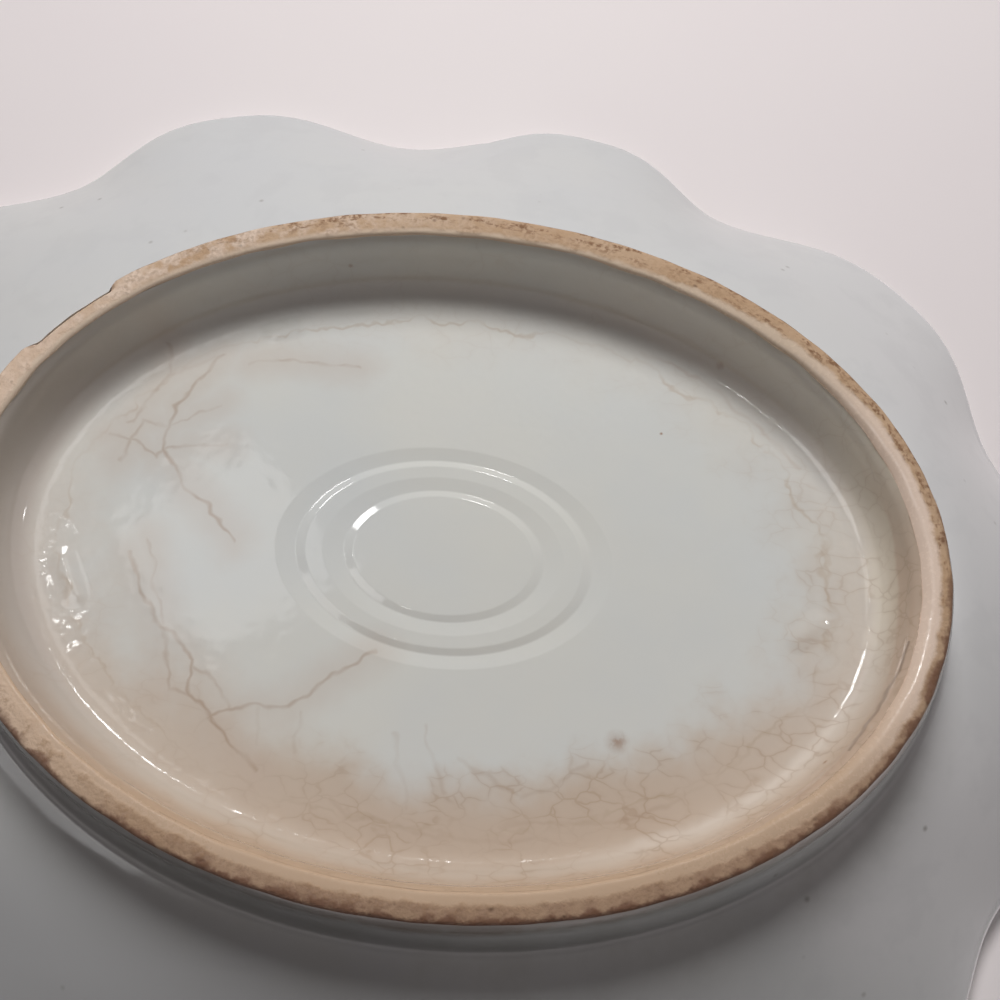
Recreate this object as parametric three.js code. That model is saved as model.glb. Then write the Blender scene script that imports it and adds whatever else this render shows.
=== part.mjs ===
// A shell-shaped dish of glazed stone china: a pressed bowl with a scalloped rim, on an oval foot ring.
// It stands on its foot with +Z up. +X points to the front lobe, and the hinge end of the shell is at -X.
// The origin is on the table, under the middle of the dish. All sizes are in millimetres.
import * as THREE from "three";

// Whole dish
const dishHeight = 39; // table to the top of the rim
const floorThickness = 5; // clay between the recess and the bowl
const rimThickness = 4.5; // clay at the rim
const coatThickness = 0.5; // glaze
const seatGap = 0.3; // between pieces that bear on each other

// Foot ring
const footHalfLength = 75; // standing edge, along X
const footHalfWidth = 55; // standing edge, across
const bandWidth = 4.2; // flat bare band that it stands on
const recessDepth = 12.5; // standing edge to the floor inside the foot
const innerCoveRun = 7.4; // how far the foot's inner wall runs in over its height
const outerCoveRun = 4; // how far its outer wall runs out
const seatLip = 0.4; // upright edge where a cove ends under the bowl

// Rim seen from above: two half ovals share their widest place, and the lobes swell from them
const rimHalfWidth = 93.6;
const rimFrontReach = 111; // widest place to the front
const rimHingeReach = 118; // widest place to the hinge end
const hingeSquareness = 2.3; // 2 is a plain oval
const widestBehindFoot = 7; // widest place to the foot's middle
const notchAngles = [25.2, 64.6, 95.5, 130.3, 180]; // degrees from the front, alike on both sides
const lobeSwells = [8, 7.9, 8.5, 9, 10]; // from the front lobe to the hinge end
const lobeFullness = 3; // higher is fuller, with narrower notches

// Section of the bowl's wall
const wallCurve = 1.45; // 1 is a straight wall
const lobeFade = 2.5; // higher keeps the lobes nearer to the rim
const bowlFloorInset = 2; // the bowl's floor ends this much inside the outer wall's start
const rimTilt = 35; // degrees that the wall has risen where the rim's round edge begins

// Facets
const stepsPerLobe = 8;
const wallSteps = 5;
const coveAngles = [0, 18, 36, 54];
const coatStartAngle = 6; // the glaze stops this far up a cove, clear of the table

// Heights and insets that follow from the sizes above
const skinDepth = coatThickness + seatGap;
const claySeat = recessDepth + skinDepth;
const footTop = claySeat - seatGap;
const capRadius = rimThickness / 2;
const capHeight = dishHeight - skinDepth - capRadius;
const coveEndAngle = THREE.MathUtils.radToDeg(Math.asin((footTop - seatLip) / claySeat));
const underCapAngles = [rimTilt - 90, rimTilt - 60];
const upperCapAngles = [rimTilt + 10, 90, rimTilt + 90];
const seamAngle = (underCapAngles.at(-1) + upperCapAngles[0]) / 2;
const seamHalfAngle = THREE.MathUtils.radToDeg(seatGap / capRadius) / 2;

const signedPower = (value, power) => Math.sign(value) * Math.abs(value) ** power;
const cosine = (degrees) => Math.cos(THREE.MathUtils.degToRad(degrees));
const sine = (degrees) => Math.sin(THREE.MathUtils.degToRad(degrees));

// The notch line of the rim, measured from the foot's middle.
function notchLine(angle) {
  const toHinge = cosine(angle) < 0;
  const power = toHinge ? 2 / hingeSquareness : 1;
  const reach = toHinge ? rimHingeReach : rimFrontReach;
  const x = reach * signedPower(cosine(angle), power) - widestBehindFoot;
  return new THREE.Vector2(x, rimHalfWidth * signedPower(sine(angle), power));
}

function notchLineNormal(angle) {
  const halfDegree = 0.5;
  const along = notchLine(angle + halfDegree).sub(notchLine(angle - halfDegree));
  return new THREE.Vector2(along.y, -along.x).normalize();
}

// A spoke holds what one direction round the dish needs: the foot's edge, the rim's notch line and the lobe's swell.
function spokeAt(angle, swell) {
  const foot = new THREE.Vector2(footHalfLength * cosine(angle), footHalfWidth * sine(angle));
  const footNormal = new THREE.Vector2(footHalfWidth * cosine(angle), footHalfLength * sine(angle)).normalize();
  return { foot, footNormal, rim: notchLine(angle), rimNormal: notchLineNormal(angle), swell };
}

// The lobes in turn round the dish: the front one, one side to the hinge end, and the other side back again.
function lobesRound() {
  const side = notchAngles.slice(1).map((to, k) => ({ from: notchAngles[k], to, swell: lobeSwells[k + 1] }));
  const otherSide = side.map(({ from, to, swell }) => ({ from: 360 - to, to: 360 - from, swell })).reverse();
  return [{ from: -notchAngles[0], to: notchAngles[0], swell: lobeSwells[0] }, ...side, ...otherSide];
}

const spokes = lobesRound().flatMap(({ from, to, swell }) =>
  Array.from({ length: stepsPerLobe }, (_, step) => {
    const share = step / stepsPerLobe;
    const fullness = 1 - Math.abs(Math.cos(Math.PI * share)) ** lobeFullness;
    return spokeAt(from + (to - from) * share, swell * fullness);
  }),
);

// Rings: one closed line of points round the dish, each with a point on every spoke.
const ringOf = (planAt, height) => spokes.map((spoke) => {
  const plan = planAt(spoke);
  return new THREE.Vector3(plan.x, plan.y, height);
});

const footRing = (outset, height) => ringOf(
  ({ foot, footNormal }) => foot.clone().addScaledVector(footNormal, outset),
  height,
);

const innerCoveRing = (angle) => footRing(-bandWidth - innerCoveRun * (1 - cosine(angle)), claySeat * sine(angle));

const outerCoveRing = (angle) => footRing(outerCoveRun * (1 - cosine(angle)), claySeat * sine(angle));

// The rim's round edge: -90 is straight down, 0 is outwards and 90 is the top.
const capInset = (angle) => skinDepth + capRadius * (1 - cosine(angle));
const capLevel = (angle) => capHeight + capRadius * sine(angle);
const capRing = (angle) => ringOf(
  ({ rim, rimNormal, swell }) => rim.clone().addScaledVector(rimNormal, swell - capInset(angle)),
  capLevel(angle),
);

// The wall runs from the foot's surroundings to the rim's round edge, and share says how far along it a ring lies.
function wallRing(startOutset, startHeight, capAngle, share) {
  const height = THREE.MathUtils.lerp(startHeight, capLevel(capAngle), share ** wallCurve);
  return ringOf(({ foot, footNormal, rim, rimNormal, swell }) => {
    const start = foot.clone().addScaledVector(footNormal, startOutset);
    const end = rim.clone().addScaledVector(rimNormal, -capInset(capAngle));
    return start.lerp(end, share).addScaledVector(rimNormal, swell * share ** lobeFade);
  }, height);
}

function wallRings(startOutset, startHeight, capAngle) {
  return Array.from({ length: wallSteps + 1 }, (_, step) =>
    wallRing(startOutset, startHeight, capAngle, step / wallSteps));
}

// The clay's finished faces, each a list of rings from the middle of the dish outwards.
const bowlFloorHeight = claySeat + floorThickness;
const underWall = wallRings(outerCoveRun, claySeat, underCapAngles[0]);
const bowlWall = wallRings(outerCoveRun - bowlFloorInset, bowlFloorHeight, upperCapAngles.at(-1));
const underCap = underCapAngles.slice(1).map(capRing);
const upperCap = upperCapAngles.slice(0, -1).map(capRing).reverse();

// Joins an underside and an upper side into one closed body. Each is a list of rings from the middle outwards, and may
// begin with a lone point, which closes it there. Both sides cut their four-sided cells along the same diagonal.
function bodyOf(underside, upperSide) {
  const positions = [];
  const indices = [];
  const placed = (ring) => {
    const start = positions.length / 3;
    for (const point of [ring].flat()) positions.push(point.x, point.y, point.z);
    return { isRing: Array.isArray(ring), at: (j) => start + (Array.isArray(ring) ? j % spokes.length : 0) };
  };
  const joinBand = (inner, outer, facesUp) => {
    const addCell = (...corners) => indices.push(...(facesUp ? corners.reverse() : corners));
    for (let j = 0; j < spokes.length; j += 1) {
      if (inner.isRing) addCell(inner.at(j), inner.at(j + 1), outer.at(j));
      if (outer.isRing) addCell(inner.at(j + 1), outer.at(j + 1), outer.at(j));
    }
  };
  const under = underside.map(placed);
  const upper = upperSide.map(placed);
  under.slice(1).forEach((ring, k) => joinBand(under[k], ring, false));
  upper.slice(1).forEach((ring, k) => joinBand(upper[k], ring, true));
  joinBand(under.at(-1), upper.at(-1), false);
  if (under[0].isRing) joinBand(upper[0], under[0], false);
  const geometry = new THREE.BufferGeometry();
  geometry.setAttribute("position", new THREE.Float32BufferAttribute(positions, 3));
  geometry.setIndex(indices);
  geometry.computeVertexNormals();
  return geometry;
}

// Moves a face of rings along its own normals. Rings that pass outwards along an underside move down and out.
function offsetRings(rings, distance) {
  const count = spokes.length;
  return rings.map((ring, k) => ring.map((point, j) => {
    const round = ring[(j + 1) % count].clone().sub(ring[(j + count - 1) % count]);
    const outwards = rings[Math.min(k + 1, rings.length - 1)][j].clone().sub(rings[Math.max(k - 1, 0)][j]);
    return point.clone().addScaledVector(round.cross(outwards).normalize(), distance);
  }));
}

const footMiddle = (height) => new THREE.Vector3(0, 0, height);

function dishBody() {
  return bodyOf(
    [footMiddle(claySeat), ...underWall, ...underCap],
    [footMiddle(bowlFloorHeight), ...bowlWall, ...upperCap],
  );
}

function footRingBody() {
  const angles = [...coveAngles, coveEndAngle];
  const innerLip = -bandWidth - innerCoveRun * (1 - cosine(coveEndAngle));
  const outerLip = outerCoveRun * (1 - cosine(coveEndAngle));
  return bodyOf(
    [...angles.map(innerCoveRing).reverse(), ...angles.map(outerCoveRing)],
    [footRing(innerLip, footTop), footRing(outerLip, footTop)],
  );
}

const coatCoveAngles = [coatStartAngle, ...coveAngles.slice(1), coveEndAngle, 90];

function recessGlaze() {
  const clay = coatCoveAngles.map(innerCoveRing).reverse();
  return bodyOf(
    [footMiddle(claySeat - skinDepth), ...offsetRings(clay, skinDepth)],
    [footMiddle(claySeat - seatGap), ...offsetRings(clay, seatGap)],
  );
}

function wallGlaze() {
  const cove = coatCoveAngles.slice(0, -1).map(outerCoveRing);
  const clay = [...cove, ...underWall, ...underCap, capRing(seamAngle - seamHalfAngle)];
  return bodyOf(offsetRings(clay, skinDepth), offsetRings(clay, seatGap));
}

function bowlGlaze() {
  const clay = [...bowlWall, ...upperCap, capRing(seamAngle + seamHalfAngle)];
  return bodyOf(
    [footMiddle(bowlFloorHeight + seatGap), ...offsetRings(clay, -seatGap)],
    [footMiddle(bowlFloorHeight + skinDepth), ...offsetRings(clay, -skinDepth)],
  );
}

const fired = new THREE.MeshStandardMaterial({ color: 0xe6e2d8, roughness: 0.7, metalness: 0 });
const bare = new THREE.MeshStandardMaterial({ color: 0xa67c4a, roughness: 0.85, metalness: 0 });
const glaze = () => new THREE.MeshStandardMaterial({ color: 0xd9dcdd, roughness: 0.12, metalness: 0 });

function piece(name, geometry, material) {
  const mesh = new THREE.Mesh(geometry, material);
  mesh.name = name;
  return mesh;
}

// The pieces are drawn about the foot's middle. The dish reaches further to the hinge end, so the group is moved on
// to bring the middle of the whole dish to the origin.
const dish = new THREE.Group();
dish.add(
  piece("dish_body", dishBody(), fired),
  piece("foot_ring", footRingBody(), bare),
  piece("wall_glaze", wallGlaze(), glaze()),
  piece("recess_glaze", recessGlaze(), glaze()),
  piece("bowl_glaze", bowlGlaze(), glaze()),
);
const extent = new THREE.Box3().setFromObject(dish);
dish.position.x = -(extent.min.x + extent.max.x) / 2;

const part = new THREE.Group();
part.add(dish);
export default part;
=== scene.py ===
"""A shell dish of glazed stone china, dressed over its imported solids.

The dish stands on its foot, as its solids do. The photograph shows it upside down on a table, so the camera looks up at
the underside, and the table is a sheet level with the rim that shows only from below.
"""
import math

import bpy
import numpy as np
from mathutils import Matrix, Vector


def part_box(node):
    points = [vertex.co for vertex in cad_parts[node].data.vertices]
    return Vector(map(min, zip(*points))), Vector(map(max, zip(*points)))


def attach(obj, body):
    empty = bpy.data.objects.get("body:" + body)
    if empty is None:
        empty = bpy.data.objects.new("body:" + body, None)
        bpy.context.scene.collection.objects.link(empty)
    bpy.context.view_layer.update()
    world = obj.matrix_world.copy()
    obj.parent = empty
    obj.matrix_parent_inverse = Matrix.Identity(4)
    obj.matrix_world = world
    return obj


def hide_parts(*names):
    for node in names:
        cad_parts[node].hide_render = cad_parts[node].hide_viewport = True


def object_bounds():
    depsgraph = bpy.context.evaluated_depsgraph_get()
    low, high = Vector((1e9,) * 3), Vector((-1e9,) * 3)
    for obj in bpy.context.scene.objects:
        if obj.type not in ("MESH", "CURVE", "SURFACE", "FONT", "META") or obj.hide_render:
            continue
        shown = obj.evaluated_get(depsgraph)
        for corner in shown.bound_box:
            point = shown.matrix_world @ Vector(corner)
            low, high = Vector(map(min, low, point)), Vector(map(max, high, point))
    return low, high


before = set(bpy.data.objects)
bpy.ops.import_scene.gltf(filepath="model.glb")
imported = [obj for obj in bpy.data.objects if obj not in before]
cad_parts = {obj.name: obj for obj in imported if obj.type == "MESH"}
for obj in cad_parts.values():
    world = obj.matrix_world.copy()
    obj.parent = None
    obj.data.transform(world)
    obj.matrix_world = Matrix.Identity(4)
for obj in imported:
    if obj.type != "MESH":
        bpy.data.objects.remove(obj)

CAD_BOX = [list(corner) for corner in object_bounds()]
MM = 0.001

# Sizes of the clay in millimetres, about the middle of the foot, as in the solids
DISH_HEIGHT = 39.0
FLOOR_THICKNESS = 5.0
RIM_THICKNESS = 4.5
COAT_THICKNESS = 0.5
SEAT_GAP = 0.3
FOOT_HALF_LENGTH = 75.0
FOOT_HALF_WIDTH = 55.0
BAND_WIDTH = 4.2
RECESS_DEPTH = 12.5
INNER_COVE_RUN = 7.4
OUTER_COVE_RUN = 4.0
RIM_HALF_WIDTH = 93.6
RIM_FRONT_REACH = 111.0
RIM_HINGE_REACH = 118.0
HINGE_SQUARENESS = 2.3
WIDEST_BEHIND_FOOT = 7.0
NOTCH_ANGLES = np.array([25.2, 64.6, 95.5, 130.3, 180.0])
LOBE_SWELLS = np.array([8.0, 7.9, 8.5, 9.0, 10.0])
LOBE_FULLNESS = 3
WALL_CURVE = 1.45
LOBE_FADE = 2.5
BOWL_FLOOR_INSET = 2.0
RIM_TILT = 35.0
COVE_STOP = 0.4  # how far under its top the foot's coves end

# Heights and angles that follow from them
SKIN_DEPTH = COAT_THICKNESS + SEAT_GAP
CLAY_SEAT = RECESS_DEPTH + SKIN_DEPTH
FOOT_TOP = CLAY_SEAT - SEAT_GAP
CAP_RADIUS = RIM_THICKNESS / 2
CAP_HEIGHT = DISH_HEIGHT - SKIN_DEPTH - CAP_RADIUS
BOWL_FLOOR_HEIGHT = CLAY_SEAT + FLOOR_THICKNESS
COVE_END_ANGLE = math.degrees(math.asin((FOOT_TOP - COVE_STOP) / CLAY_SEAT))
SEAM_ANGLE = 10.0

# Wear and handwork
GLAZE_LINE_ANGLE = 2.6  # how far up a cove the glaze begins
GLAZE_EDGE_ANGLE = 12.0  # over how much of it the glaze reaches its full thickness
EDGE_SINK = 0.06  # how far the glaze's thin edge lies under the clay's face
BAND_ROUNDING = 0.45  # the standing edge's worn corners
CHIP_FROM, CHIP_TO = 203.0, 218.0  # a flake is gone from the outer edge between these angles
CHIP_DEPTH = 1.1
CHIP_LIFT = 0.8
CHIP_FADE = 9.0  # how fast the flake dies away up the outer cove
COVE_SQUARENESS = 2.7  # the recess's wall stands straighter than a quarter oval
LIP_ROLL = 0.8  # how much further the standing edge's inner corner is rolled over at the front
BAND_FLATNESS = 9.0  # the power of the band's corners
LIP_SOFTENING = 6.8  # how much lower that power is at the front
INNER_EDGE_WAVER = 0.16
OUTER_EDGE_WAVER = 0.14
EDGE_FADE = 4.0  # how fast the edges' waver dies away up the coves
BAND_WAVER = 0.05
COAT_WAVER = 0.16
RECESS_WAVER = 0.07
GLAZE_LINE_WAVER = 0.9  # in degrees, as the next two are
GLAZE_LINE_AT_LIP = 3.4
GLAZE_LINE_AT_CHIP = 5.5
SEAM_TUCK = 0.25  # how far the wall's last ring goes under the upper glaze
SEAM_TUCK_ANGLE = 3.0
RIM_WEAR_ANGLE = 16.0
PANEL_SHARES = [0.225, 0.250, 0.300, 0.345, 0.370, 0.420]  # a plain oval panel in the recess, as shares of its floor
PANEL_SINKS = [0.0, 0.30, 0.0, 0.0, 0.36, 0.0]

# Counts of the surfaces' rings and spokes
SPOKES_PER_LOBE = 60
FOOT_COVE_RINGS = 14
BAND_RINGS = 31
RECESS_COVE_RINGS = 30
WALL_COVE_RINGS = 16
WALL_RINGS = 53
RIM_RINGS = 14
BOWL_FLOOR_RINGS = 22
BOWL_RIM_RINGS = 18
RECESS_BACK_STEP = 6  # a coat's hidden back has one ring for so many of its face
BACK_STEP = 5
SHARP_ANGLE = math.radians(55)

foot_low, foot_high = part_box("foot_ring")
FOOT_MIDDLE = (foot_low.x + foot_high.x) / 2 / MM


# Surfaces


def signed_power(value, power):
    """The size of a value raised to a power, with the value's own sign."""
    return np.sign(value) * np.abs(value) ** power


def soft_step(value, low, high):
    """0 below low, 1 above high, and t*t*(3 - 2t) between."""
    share = np.clip((value - low) / (high - low), 0, 1)
    return share * share * (3 - 2 * share)


def joined(*parts):
    """Rings, or numbers of rings, one after another."""
    return np.concatenate(parts)


def directions(per_lobe):
    """Angles round the dish, and the lobe's swell at each.

    Each lobe holds the same number of angles. Its swell is S(1 - |cos(pi t)|^3), with t from 0 to 1 across it.
    """
    edges = joined(-NOTCH_ANGLES[:1], NOTCH_ANGLES, 360 - NOTCH_ANGLES[-2::-1])
    swells = joined(LOBE_SWELLS, LOBE_SWELLS[:0:-1])
    share = np.arange(per_lobe) / per_lobe
    angle = edges[:-1, None] + np.diff(edges)[:, None] * share
    swell = swells[:, None] * (1 - np.abs(np.cos(np.pi * share)) ** LOBE_FULLNESS)
    return angle.ravel(), swell.ravel()


def notch_line(angle):
    """The rim at its notches: x = reach |cos|^p and y = half width |sin|^p, with p = 1 in front and 2/2.3 behind."""
    turn = np.radians(angle)
    to_hinge = np.cos(turn) < 0
    power = np.where(to_hinge, 2 / HINGE_SQUARENESS, 1.0)
    reach = np.where(to_hinge, RIM_HINGE_REACH, RIM_FRONT_REACH)
    x = reach * signed_power(np.cos(turn), power) - WIDEST_BEHIND_FOOT
    y = RIM_HALF_WIDTH * signed_power(np.sin(turn), power)
    return np.stack([x, y], axis=-1)


def plan_normal(along):
    """A plan direction turned a quarter to the right and brought to length 1."""
    across = np.stack([along[:, 1], -along[:, 0]], axis=-1)
    return across / np.linalg.norm(across, axis=-1, keepdims=True)


ANGLE, SWELL = directions(SPOKES_PER_LOBE)
TURN = np.radians(ANGLE)
FOOT = np.stack([FOOT_HALF_LENGTH * np.cos(TURN), FOOT_HALF_WIDTH * np.sin(TURN)], axis=-1)
FOOT_NORMAL = plan_normal(np.stack([-FOOT_HALF_LENGTH * np.sin(TURN), FOOT_HALF_WIDTH * np.cos(TURN)], axis=-1))
RIM = notch_line(ANGLE)
RIM_NORMAL = plan_normal(notch_line(ANGLE + 0.5) - notch_line(ANGLE - 0.5))


def waver(strides, phase):
    """Hand unevenness round the dish: the mean of sines of whole strides, each set on by the golden angle."""
    golden_angle = 2.4
    strides = np.array(strides)[:, None]
    return np.sin(strides * TURN + phase + golden_angle * strides).mean(axis=0)


def column(values):
    """One value for each ring, ready to spread round it."""
    return np.asarray(values, float)[:, None]


def at_height(plan, height):
    """Rings of points from a plan and a height for each."""
    level = np.broadcast_to(height, plan.shape[:-1])
    return np.concatenate([plan, level[..., None]], axis=-1)


def round_foot(outset, height):
    """Rings round the foot: each point is an outset along the foot's own normal from its standing edge."""
    spread = outset + 0 * TURN
    return at_height(FOOT + FOOT_NORMAL * spread[..., None], height)


def cove(angle, start, run, squareness=2.0):
    """A quarter oval: the height is the clay seat times s = sin(angle).

    The outset is start + run (1 - (1 - s^n)^(1/n)), where the squareness n is 2 in a plain oval.
    """
    lifted = np.sin(np.radians(angle))
    curl = 1 - (1 - lifted ** squareness) ** (1 / squareness)
    return round_foot(start + run * curl, CLAY_SEAT * lifted + 0 * TURN)


def cap_inset(angle):
    """How far the rim's round edge lies inside the dish's outline: the coat plus r (1 - cos(angle))."""
    return SKIN_DEPTH + CAP_RADIUS * (1 - np.cos(np.radians(angle)))


def cap_level(angle):
    """The height on the rim's round edge: its middle plus r sin(angle)."""
    return CAP_HEIGHT + CAP_RADIUS * np.sin(np.radians(angle))


def cap(angle):
    """The rim's round edge: a circle of half the clay's thickness, swung from below (-90) to the top (90)."""
    reach = SWELL - cap_inset(angle)
    return at_height(RIM + RIM_NORMAL * reach[..., None], cap_level(angle))


def wall(share, start_outset, start_height, cap_angle):
    """The bowl's wall between the foot's surroundings and the rim.

    In plan it is a straight blend of the two lines, plus the lobe's swell times share^2.5. The height blends with
    share^1.45, so the wall leaves the floor flat and steepens.
    """
    start = FOOT + FOOT_NORMAL * start_outset
    end = RIM - RIM_NORMAL * cap_inset(cap_angle)
    swell = SWELL * share ** LOBE_FADE
    plan = start + (end - start) * share[..., None] + RIM_NORMAL * swell[..., None]
    height = start_height + (cap_level(cap_angle) - start_height) * share ** WALL_CURVE
    return at_height(plan, height)


def floor_rings(edge, shares):
    """A floor: the ring at its edge shrunk towards the middle by each share."""
    shares = column(shares)[..., None]
    middle = np.array([0, 0, edge[0, 2]])
    return middle + (edge - middle) * shares


def ring_normals(rings):
    """The cross product of the step round the dish and the step outwards, at length 1."""
    round_step = np.roll(rings, -1, axis=1) - np.roll(rings, 1, axis=1)
    out_step = np.gradient(rings, axis=0)
    normal = np.cross(round_step, out_step)
    return normal / np.linalg.norm(normal, axis=-1, keepdims=True)


def offset(rings, distance):
    """Moves a face along its own normals, by one distance or by one for each point."""
    return rings + ring_normals(rings) * np.asarray(distance + 0 * rings[..., 0])[..., None]


# Meshes


def add_object(name, data):
    """A new object in the scene."""
    thing = bpy.data.objects.new(name, data)
    bpy.context.scene.collection.objects.link(thing)
    return thing


def skin(name, rings, looped, **marks):
    """A closed mesh over rings of points, four-sided between neighbours.

    A looped piece joins its last ring to its first. Any other piece is closed by a lone point inside each end ring.
    Each mark is a number per ring, or per point, that the finish reads as an attribute.
    """
    ring_count, spoke_count = rings.shape[:2]
    points = rings.reshape(-1, 3)
    index = np.arange(len(points)).reshape(ring_count, spoke_count)
    rows = joined(index, index[:1]) if looped else index
    rows = np.concatenate([rows, rows[:, :1]], axis=1)
    quads = np.stack([rows[:-1, :-1], rows[:-1, 1:], rows[1:, 1:], rows[1:, :-1]], axis=-1).reshape(-1, 4)
    triangles = np.empty((0, 3), int)
    if not looped:
        poles = np.stack([rings[0].mean(axis=0), rings[-1].mean(axis=0)])
        first = np.full(spoke_count, len(points))
        points = joined(points, poles)
        opening = np.stack([first, rows[0, 1:], rows[0, :-1]], axis=-1)
        closing = np.stack([rows[-1, :-1], rows[-1, 1:], first + 1], axis=-1)
        triangles = joined(opening, closing)
    corners = joined(quads.ravel(), triangles.ravel())
    sizes = joined(np.full(len(quads), 4), np.full(len(triangles), 3))
    mesh = bpy.data.meshes.new(name)
    mesh.vertices.add(len(points))
    placed = points * MM + np.array([FOOT_MIDDLE * MM, 0, 0])
    mesh.vertices.foreach_set("co", placed.astype(np.float32).ravel())
    mesh.loops.add(len(corners))
    mesh.loops.foreach_set("vertex_index", corners.astype(np.int32))
    mesh.polygons.add(len(sizes))
    mesh.polygons.foreach_set("loop_start", (np.cumsum(sizes) - sizes).astype(np.int32))
    mesh.update(calc_edges=True)
    mesh.validate()
    for mark, values in marks.items():
        spread = np.broadcast_to(values if np.ndim(values) == 2 else column(values), index.shape).ravel()
        ends = [] if looped else [spread[0], spread[-1]]
        attribute = mesh.attributes.new(mark, "FLOAT", "POINT")
        attribute.data.foreach_set("value", joined(spread, ends).astype(np.float32))
    mesh.shade_smooth()
    mesh.set_sharp_from_angle(angle=SHARP_ANGLE)
    return add_object(name, mesh)


def dress(piece, node, material):
    """Gives a piece its finish and its body, and hides the CAD node that it stands for."""
    piece.data.materials.append(material)
    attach(piece, "root")
    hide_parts(node)


# Pieces

CHIP = soft_step(ANGLE, CHIP_FROM - 1.5, CHIP_FROM + 2) * (1 - soft_step(ANGLE, CHIP_TO - 1, CHIP_TO + 0.6))
CHIP_RAGGED = CHIP * (1 + 0.25 * waver([41, 57, 73], 0.4))
LIP = soft_step(np.cos(TURN), 0.5, 1.0)


def foot_clay():
    """The foot's clay: down its inner cove, across the ground band, up its outer cove and back under the bowl.

    Across the band, u runs from -1 to 1 and the height is the corner rounding times |u|^9, with slow unevenness on
    both edges. At the front the inner half is rolled over, with a larger rounding and a lower power. The flake lifts
    and draws in the outer half.
    """
    inner_rounding = BAND_ROUNDING + LIP_ROLL * LIP
    inner_start = np.degrees(np.arcsin(inner_rounding / CLAY_SEAT))
    inner_lifts = inner_start + (COVE_END_ANGLE - inner_start) * column(np.linspace(0, 1, FOOT_COVE_RINGS))
    outer_start = math.degrees(math.asin(BAND_ROUNDING / CLAY_SEAT))
    outer_lifts = np.linspace(outer_start, COVE_END_ANGLE, FOOT_COVE_RINGS)
    across = np.sin(np.linspace(-np.pi / 2, np.pi / 2, BAND_RINGS))
    inner_edge = INNER_EDGE_WAVER * waver([3, 7, 19, 31, 47], 1.1)
    outer_edge = OUTER_EDGE_WAVER * waver([4, 9, 23, 37, 61], 2.0)
    edge_fade = column(np.exp(-np.linspace(0, EDGE_FADE, FOOT_COVE_RINGS)))
    inner = cove(inner_lifts, -BAND_WIDTH, -INNER_COVE_RUN, COVE_SQUARENESS)
    inner = inner + at_height(FOOT_NORMAL * (inner_edge * edge_fade)[..., None], 0.0)
    flake_fade = column(np.exp(-np.linspace(0, CHIP_FADE, FOOT_COVE_RINGS)))
    outer = cove(column(outer_lifts), 0.0, OUTER_COVE_RUN)
    outer_shift = outer_edge * edge_fade - CHIP_DEPTH * CHIP_RAGGED * flake_fade
    outer = outer + at_height(FOOT_NORMAL * outer_shift[..., None], 0.0)
    u = column(across)
    half = BAND_WIDTH / 2
    edges = inner_edge * soft_step(-u, 0, 1) + outer_edge * soft_step(u, 0, 1)
    flake = CHIP_RAGGED * soft_step(u, 0.1, 0.9)
    inner_corner = inner_rounding * np.abs(u) ** (BAND_FLATNESS - LIP_SOFTENING * LIP)
    outer_corner = BAND_ROUNDING * np.abs(u) ** BAND_FLATNESS
    height = np.where(u < 0, inner_corner, outer_corner) + CHIP_LIFT * flake * soft_step(u, 0.15, 0.6)
    height = height + BAND_WAVER * (1 + waver([5, 13, 29, 53], 0.7)) * soft_step(np.abs(u), 0.2, 0.8)
    band = round_foot(-half + half * u + edges - CHIP_DEPTH * flake, height)
    outer[..., 2] = outer[..., 2] + CHIP_LIFT * CHIP_RAGGED * flake_fade
    lips = np.array([outer[-1], inner[-1]])
    lips[..., 2] = FOOT_TOP
    rings = joined(inner[::-1], band[1:-1], outer, lips)
    climb = np.linspace(0, 1, FOOT_COVE_RINGS)
    marks = joined(-climb[::-1], (across[1:-1] + 1) / 2, 1 + climb, [2, -1])
    flakes = joined(0 * inner[..., 0], flake[1:-1], CHIP_RAGGED * flake_fade, 0 * lips[..., 0])
    turned = np.abs((ANGLE - ANGLE[0]) % 360 - 180)
    along = np.radians(turned) * (FOOT_HALF_LENGTH + FOOT_HALF_WIDTH) / 2 + 0 * rings[..., 0]
    return skin("foot_clay", rings, True, across=marks, flake=flakes, along=along)


def glaze_line(lift, phase):
    """Where a coat begins up its cove: a low angle that wavers as the wiped edge of a dipped glaze does."""
    return lift + GLAZE_LINE_WAVER * waver([5, 11, 23, 41], phase)


def glaze_edge(lifts, begin):
    """How full a coat is near its edge: 1 - (1 - t)^2, with t from 0 at the edge to 1 a few degrees up the cove."""
    gone = 1 - np.clip((lifts - begin) / GLAZE_EDGE_ANGLE, 0, 1)
    return 1 - gone * gone


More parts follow.
